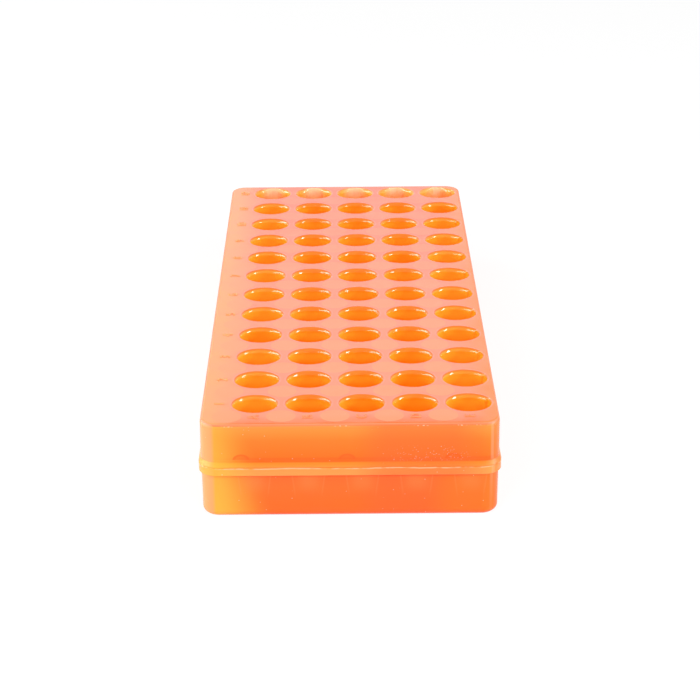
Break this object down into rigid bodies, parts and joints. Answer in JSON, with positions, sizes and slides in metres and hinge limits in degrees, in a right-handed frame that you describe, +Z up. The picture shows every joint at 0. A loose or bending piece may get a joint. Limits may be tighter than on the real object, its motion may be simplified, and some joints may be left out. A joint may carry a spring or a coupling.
{
  "type": "microcentrifuge tube rack",
  "caption": "Reversible two-part bench rack with a grid of round wells for microcentrifuge tubes on top and smaller wells for thin tubes underneath.",
  "frame": {"origin": "middle of the footprint, on the underside", "axes": "+X across the rack towards its last column, +Y along it towards its last row, +Z up"},
  "size_m": [0.0742, 0.1956, 0.0248],
  "materials": {
    "orange_translucent": "translucent moulded polypropylene with a soft gloss"
  },
  "bodies": {
    "root": {"upper_deck": "orange_translucent", "upper_walls": "orange_translucent", "upper_corners": "orange_translucent", "large_wells": "orange_translucent", "lower_floor": "orange_translucent", "lower_walls": "orange_translucent", "lower_corners": "orange_translucent", "small_wells": "orange_translucent"}
  },
  "joints": []
}
